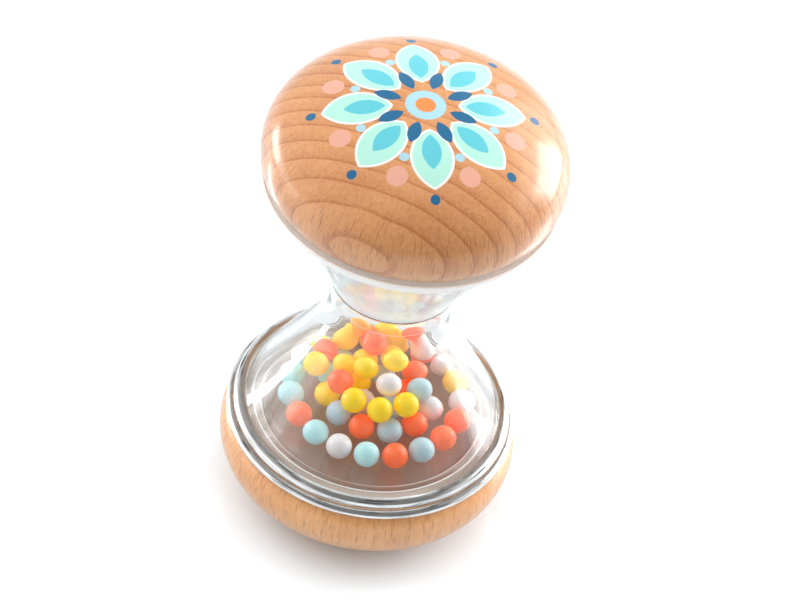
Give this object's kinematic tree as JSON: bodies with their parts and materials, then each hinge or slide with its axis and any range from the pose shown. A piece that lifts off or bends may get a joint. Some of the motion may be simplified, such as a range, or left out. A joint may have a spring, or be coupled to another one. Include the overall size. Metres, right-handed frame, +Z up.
{
  "type": "hourglass baby rattle",
  "caption": "Hourglass baby rattle: domed wooden caps on a clear plastic hourglass with loose coloured beads that fall through its neck.",
  "frame": {"origin": "middle of the flat foot under the bottom cap", "axes": "+Z up along the axis of the hourglass; -Y is the side that the picture was taken from"},
  "size_m": [0.07, 0.07, 0.1227],
  "materials": {
    "beech": "turned beech under clear gloss varnish, short brown flecks and growth rings, small painted rosette on the top cap",
    "clear_plastic": "clear polished moulded plastic",
    "bead_coral": "satin coral red",
    "bead_yellow": "satin yellow",
    "bead_aqua": "satin pale aqua",
    "bead_blue": "satin grey blue",
    "bead_white": "satin warm white",
    "bead_orange": "satin orange"
  },
  "bodies": {
    "shell": {"bottom_cap": "beech", "lower_end_plate": "clear_plastic", "lower_bell": "clear_plastic", "upper_bell": "clear_plastic", "upper_end_plate": "clear_plastic", "top_cap": "beech"},
    "bead_outer_01": {"bead_outer_01": "bead_white"},
    "bead_outer_02": {"bead_outer_02": "bead_yellow"},
    "bead_outer_03": {"bead_outer_03": "bead_white"},
    "bead_outer_04": {"bead_outer_04": "bead_coral"},
    "bead_outer_05": {"bead_outer_05": "bead_yellow"},
    "bead_outer_06": {"bead_outer_06": "bead_orange"},
    "bead_outer_07": {"bead_outer_07": "bead_yellow"},
    "bead_outer_08": {"bead_outer_08": "bead_yellow"},
    "bead_outer_09": {"bead_outer_09": "bead_blue"},
    "bead_outer_10": {"bead_outer_10": "bead_aqua"},
    "bead_outer_11": {"bead_outer_11": "bead_aqua"},
    "bead_outer_12": {"bead_outer_12": "bead_coral"},
    "bead_outer_13": {"bead_outer_13": "bead_aqua"},
    "bead_outer_14": {"bead_outer_14": "bead_white"},
    "bead_outer_15": {"bead_outer_15": "bead_aqua"},
    "bead_outer_16": {"bead_outer_16": "bead_coral"},
    "bead_outer_17": {"bead_outer_17": "bead_blue"},
    "bead_outer_18": {"bead_outer_18": "bead_coral"},
    "bead_outer_19": {"bead_outer_19": "bead_coral"},
    "bead_middle_01": {"bead_middle_01": "bead_blue"},
    "bead_middle_02": {"bead_middle_02": "bead_aqua"},
    "bead_middle_03": {"bead_middle_03": "bead_yellow"},
    "bead_middle_04": {"bead_middle_04": "bead_blue"},
    "bead_middle_05": {"bead_middle_05": "bead_coral"},
    "bead_middle_06": {"bead_middle_06": "bead_blue"},
    "bead_middle_07": {"bead_middle_07": "bead_coral"},
    "bead_middle_08": {"bead_middle_08": "bead_white"},
    "bead_inner_01": {"bead_inner_01": "bead_coral"},
    "bead_inner_02": {"bead_inner_02": "bead_blue"},
    "bead_inner_03": {"bead_inner_03": "bead_yellow"},
    "bead_inner_04": {"bead_inner_04": "bead_white"},
    "bead_inner_05": {"bead_inner_05": "bead_blue"},
    "bead_upper_01": {"bead_upper_01": "bead_coral"},
    "bead_upper_02": {"bead_upper_02": "bead_yellow"},
    "bead_upper_03": {"bead_upper_03": "bead_yellow"},
    "bead_upper_04": {"bead_upper_04": "bead_yellow"},
    "bead_upper_05": {"bead_upper_05": "bead_coral"},
    "bead_upper_06": {"bead_upper_06": "bead_yellow"},
    "bead_upper_07": {"bead_upper_07": "bead_yellow"},
    "bead_upper_08": {"bead_upper_08": "bead_yellow"},
    "bead_upper_09": {"bead_upper_09": "bead_blue"},
    "bead_back_01": {"bead_back_01": "bead_white"},
    "bead_back_02": {"bead_back_02": "bead_yellow"},
    "bead_back_03": {"bead_back_03": "bead_coral"},
    "bead_back_04": {"bead_back_04": "bead_yellow"},
    "bead_back_05": {"bead_back_05": "bead_coral"},
    "bead_back_06": {"bead_back_06": "bead_yellow"},
    "bead_top_01": {"bead_top_01": "bead_yellow"},
    "bead_top_02": {"bead_top_02": "bead_yellow"},
    "bead_top_03": {"bead_top_03": "bead_white"},
    "bead_peak_01": {"bead_peak_01": "bead_coral"},
    "bead_crest_01": {"bead_crest_01": "bead_coral"},
    "bead_crest_02": {"bead_crest_02": "bead_yellow"},
    "bead_crest_03": {"bead_crest_03": "bead_orange"}
  },
  "joints": [
    {"name": "lift_outer_01", "type": "slide", "parent": "shell", "child": "bead_outer_01", "axis": [0, 0, 1], "range_m": [0, 0.0044]},
    {"name": "lift_outer_02", "type": "slide", "parent": "shell", "child": "bead_outer_02", "axis": [0, 0, 1], "range_m": [0, 0.0037]},
    {"name": "lift_outer_03", "type": "slide", "parent": "shell", "child": "bead_outer_03", "axis": [0, 0, 1], "range_m": [0, 0.0011]},
    {"name": "lift_outer_04", "type": "slide", "parent": "shell", "child": "bead_outer_04", "axis": [0, 0, 1], "range_m": [0, 0.0011]},
    {"name": "lift_outer_05", "type": "slide", "parent": "shell", "child": "bead_outer_05", "axis": [0, 0, 1], "range_m": [0, 0.0011]},
    {"name": "lift_outer_06", "type": "slide", "parent": "shell", "child": "bead_outer_06", "axis": [0, 0, 1], "range_m": [0, 0.002]},
    {"name": "lift_outer_07", "type": "slide", "parent": "shell", "child": "bead_outer_07", "axis": [0, 0, 1], "range_m": [0, 0.0029]},
    {"name": "lift_outer_08", "type": "slide", "parent": "shell", "child": "bead_outer_08", "axis": [0, 0, 1], "range_m": [0, 0.0029]},
    {"name": "lift_outer_09", "type": "slide", "parent": "shell", "child": "bead_outer_09", "axis": [0, 0, 1], "range_m": [0, 0.0056]},
    {"name": "lift_outer_10", "type": "slide", "parent": "shell", "child": "bead_outer_10", "axis": [0, 0, 1], "range_m": [0, 0.0066]},
    {"name": "lift_outer_11", "type": "slide", "parent": "shell", "child": "bead_outer_11", "axis": [0, 0, 1], "range_m": [0, 0.0075]},
    {"name": "lift_outer_12", "type": "slide", "parent": "shell", "child": "bead_outer_12", "axis": [0, 0, 1], "range_m": [0, 0.0082]},
    {"name": "lift_outer_13", "type": "slide", "parent": "shell", "child": "bead_outer_13", "axis": [0, 0, 1], "range_m": [0, 0.0087]},
    {"name": "lift_outer_14", "type": "slide", "parent": "shell", "child": "bead_outer_14", "axis": [0, 0, 1], "range_m": [0, 0.0088]},
    {"name": "lift_outer_15", "type": "slide", "parent": "shell", "child": "bead_outer_15", "axis": [0, 0, 1], "range_m": [0, 0.0086]},
    {"name": "lift_outer_16", "type": "slide", "parent": "shell", "child": "bead_outer_16", "axis": [0, 0, 1], "range_m": [0, 0.008]},
    {"name": "lift_outer_17", "type": "slide", "parent": "shell", "child": "bead_outer_17", "axis": [0, 0, 1], "range_m": [0, 0.0072]},
    {"name": "lift_outer_18", "type": "slide", "parent": "shell", "child": "bead_outer_18", "axis": [0, 0, 1], "range_m": [0, 0.0063]},
    {"name": "lift_outer_19", "type": "slide", "parent": "shell", "child": "bead_outer_19", "axis": [0, 0, 1], "range_m": [0, 0.0053]},
    {"name": "lift_middle_01", "type": "slide", "parent": "shell", "child": "bead_middle_01", "axis": [0, 0, 1], "range_m": [0, 0.0029]},
    {"name": "lift_middle_02", "type": "slide", "parent": "shell", "child": "bead_middle_02", "axis": [0, 0, 1], "range_m": [0, 0.0085]},
    {"name": "lift_middle_03", "type": "slide", "parent": "shell", "child": "bead_middle_03", "axis": [0, 0, 1], "range_m": [0, 0.0097]},
    {"name": "lift_middle_04", "type": "slide", "parent": "shell", "child": "bead_middle_04", "axis": [0, 0, 1], "range_m": [0, 0.0238]},
    {"name": "lift_middle_05", "type": "slide", "parent": "shell", "child": "bead_middle_05", "axis": [0, 0, 1], "range_m": [0, 0.0206]},
    {"name": "lift_middle_06", "type": "slide", "parent": "shell", "child": "bead_middle_06", "axis": [0, 0, 1], "range_m": [0, 0.0177]},
    {"name": "lift_middle_07", "type": "slide", "parent": "shell", "child": "bead_middle_07", "axis": [0, 0, 1], "range_m": [0, 0.0167]},
    {"name": "lift_middle_08", "type": "slide", "parent": "shell", "child": "bead_middle_08", "axis": [0, 0, 1], "range_m": [0, 0.0167]},
    {"name": "lift_inner_01", "type": "slide", "parent": "shell", "child": "bead_inner_01", "axis": [0, 0, 1], "range_m": [0, 0.0163]},
    {"name": "lift_inner_02", "type": "slide", "parent": "shell", "child": "bead_inner_02", "axis": [0, 0, 1], "range_m": [0, 0.0029]},
    {"name": "lift_inner_03", "type": "slide", "parent": "shell", "child": "bead_inner_03", "axis": [0, 0, 1], "range_m": [0, 0.0029]},
    {"name": "lift_inner_04", "type": "slide", "parent": "shell", "child": "bead_inner_04", "axis": [0, 0, 1], "range_m": [0, 0.0552]},
    {"name": "lift_inner_05", "type": "slide", "parent": "shell", "child": "bead_inner_05", "axis": [0, 0, 1], "range_m": [0, 0.0177]},
    {"name": "lift_upper_01", "type": "slide", "parent": "shell", "child": "bead_upper_01", "axis": [0, 0, 1], "range_m": [0, 0.017]},
    {"name": "lift_upper_02", "type": "slide", "parent": "shell", "child": "bead_upper_02", "axis": [0, 0, 1], "range_m": [0, 0.0148]},
    {"name": "lift_upper_03", "type": "slide", "parent": "shell", "child": "bead_upper_03", "axis": [0, 0, 1], "range_m": [0, 0.0031]},
    {"name": "lift_upper_04", "type": "slide", "parent": "shell", "child": "bead_upper_04", "axis": [0, 0, 1], "range_m": [0, 0.025]},
    {"name": "lift_upper_05", "type": "slide", "parent": "shell", "child": "bead_upper_05", "axis": [0, 0, 1], "range_m": [0, 0.0616]},
    {"name": "lift_upper_06", "type": "slide", "parent": "shell", "child": "bead_upper_06", "axis": [0, 0, 1], "range_m": [0, 0.0617]},
    {"name": "lift_upper_07", "type": "slide", "parent": "shell", "child": "bead_upper_07", "axis": [0, 0, 1], "range_m": [0, 0.0215]},
    {"name": "lift_upper_08", "type": "slide", "parent": "shell", "child": "bead_upper_08", "axis": [0, 0, 1], "range_m": [0, 0.0185]},
    {"name": "lift_upper_09", "type": "slide", "parent": "shell", "child": "bead_upper_09", "axis": [0, 0, 1], "range_m": [0, 0.0174]},
    {"name": "lift_back_01", "type": "slide", "parent": "shell", "child": "bead_back_01", "axis": [0, 0, 1], "range_m": [0, 0.0012]},
    {"name": "lift_back_02", "type": "slide", "parent": "shell", "child": "bead_back_02", "axis": [0, 0, 1], "range_m": [0, 0.0012]},
    {"name": "lift_back_03", "type": "slide", "parent": "shell", "child": "bead_back_03", "axis": [0, 0, 1], "range_m": [0, 0.0021]},
    {"name": "lift_back_04", "type": "slide", "parent": "shell", "child": "bead_back_04", "axis": [0, 0, 1], "range_m": [0, 0.0031]},
    {"name": "lift_back_05", "type": "slide", "parent": "shell", "child": "bead_back_05", "axis": [0, 0, 1], "range_m": [0, 0.0089]},
    {"name": "lift_back_06", "type": "slide", "parent": "shell", "child": "bead_back_06", "axis": [0, 0, 1], "range_m": [0, 0.0102]},
    {"name": "lift_top_01", "type": "slide", "parent": "shell", "child": "bead_top_01", "axis": [0, 0, 1], "range_m": [0, 0.0575]},
    {"name": "lift_top_02", "type": "slide", "parent": "shell", "child": "bead_top_02", "axis": [0, 0, 1], "range_m": [0, 0.0575]},
    {"name": "lift_top_03", "type": "slide", "parent": "shell", "child": "bead_top_03", "axis": [0, 0, 1], "range_m": [0, 0.0575]},
    {"name": "lift_peak_01", "type": "slide", "parent": "shell", "child": "bead_peak_01", "axis": [0, 0, 1], "range_m": [0, 0.0155]},
    {"name": "lift_crest_01", "type": "slide", "parent": "shell", "child": "bead_crest_01", "axis": [0, 0, 1], "range_m": [0, 0.0013]},
    {"name": "lift_crest_02", "type": "slide", "parent": "shell", "child": "bead_crest_02", "axis": [0, 0, 1], "range_m": [0, 0.0022]},
    {"name": "lift_crest_03", "type": "slide", "parent": "shell", "child": "bead_crest_03", "axis": [0, 0, 1], "range_m": [0, 0.0033]}
  ],
  "couplings": [
    {"joint": "lift_outer_03", "follows": "lift_top_01", "ratio": 0.0191},
    {"joint": "lift_outer_04", "follows": "lift_top_01", "ratio": 0.0191},
    {"joint": "lift_outer_05", "follows": "lift_top_01", "ratio": 0.0191},
    {"joint": "lift_outer_06", "follows": "lift_top_01", "ratio": 0.0347},
    {"joint": "lift_outer_07", "follows": "lift_top_01", "ratio": 0.0504},
    {"joint": "lift_outer_08", "follows": "lift_top_01", "ratio": 0.0504},
    {"joint": "lift_outer_09", "follows": "lift_top_01", "ratio": 0.0973},
    {"joint": "lift_outer_10", "follows": "lift_top_01", "ratio": 0.1147},
    {"joint": "lift_middle_01", "follows": "lift_top_01", "ratio": 0.0504},
    {"joint": "lift_middle_02", "follows": "lift_top_01", "ratio": 0.1478},
    {"joint": "lift_middle_03", "follows": "lift_top_01", "ratio": 0.1686},
    {"joint": "lift_middle_04", "follows": "lift_top_01", "ratio": 0.4139},
    {"joint": "lift_middle_05", "follows": "lift_top_01", "ratio": 0.3582},
    {"joint": "lift_middle_06", "follows": "lift_top_01", "ratio": 0.3078},
    {"joint": "lift_middle_07", "follows": "lift_top_01", "ratio": 0.2904},
    {"joint": "lift_middle_08", "follows": "lift_top_01", "ratio": 0.2904},
    {"joint": "lift_inner_01", "follows": "lift_top_01", "ratio": 0.2834},
    {"joint": "lift_inner_02", "follows": "lift_top_01", "ratio": 0.0504},
    {"joint": "lift_inner_03", "follows": "lift_top_01", "ratio": 0.0504},
    {"joint": "lift_inner_04", "follows": "lift_top_01", "ratio": 0.96},
    {"joint": "lift_inner_05", "follows": "lift_top_01", "ratio": 0.3078},
    {"joint": "lift_upper_01", "follows": "lift_top_01", "ratio": 0.2956},
    {"joint": "lift_upper_02", "follows": "lift_top_01", "ratio": 0.2573},
    {"joint": "lift_upper_03", "follows": "lift_top_01", "ratio": 0.0539},
    {"joint": "lift_upper_04", "follows": "lift_top_01", "ratio": 0.4347},
    {"joint": "lift_upper_05", "follows": "lift_top_01", "ratio": 1.0713},
    {"joint": "lift_upper_06", "follows": "lift_top_01", "ratio": 1.073},
    {"joint": "lift_upper_07", "follows": "lift_top_01", "ratio": 0.3739},
    {"joint": "lift_upper_08", "follows": "lift_top_01", "ratio": 0.3217},
    {"joint": "lift_upper_09", "follows": "lift_top_01", "ratio": 0.3026},
    {"joint": "lift_back_01", "follows": "lift_top_01", "ratio": 0.0208},
    {"joint": "lift_back_02", "follows": "lift_top_01", "ratio": 0.0208},
    {"joint": "lift_back_03", "follows": "lift_top_01", "ratio": 0.0365},
    {"joint": "lift_back_04", "follows": "lift_top_01", "ratio": 0.0539},
    {"joint": "lift_back_05", "follows": "lift_top_01", "ratio": 0.1547},
    {"joint": "lift_back_06", "follows": "lift_top_01", "ratio": 0.1773},
    {"joint": "lift_top_02", "follows": "lift_top_01", "ratio": 1},
    {"joint": "lift_top_03", "follows": "lift_top_01", "ratio": 1},
    {"joint": "lift_peak_01", "follows": "lift_top_01", "ratio": 0.2695},
    {"joint": "lift_crest_01", "follows": "lift_top_01", "ratio": 0.0226},
    {"joint": "lift_crest_02", "follows": "lift_top_01", "ratio": 0.0382},
    {"joint": "lift_crest_03", "follows": "lift_top_01", "ratio": 0.0573}
  ]
}
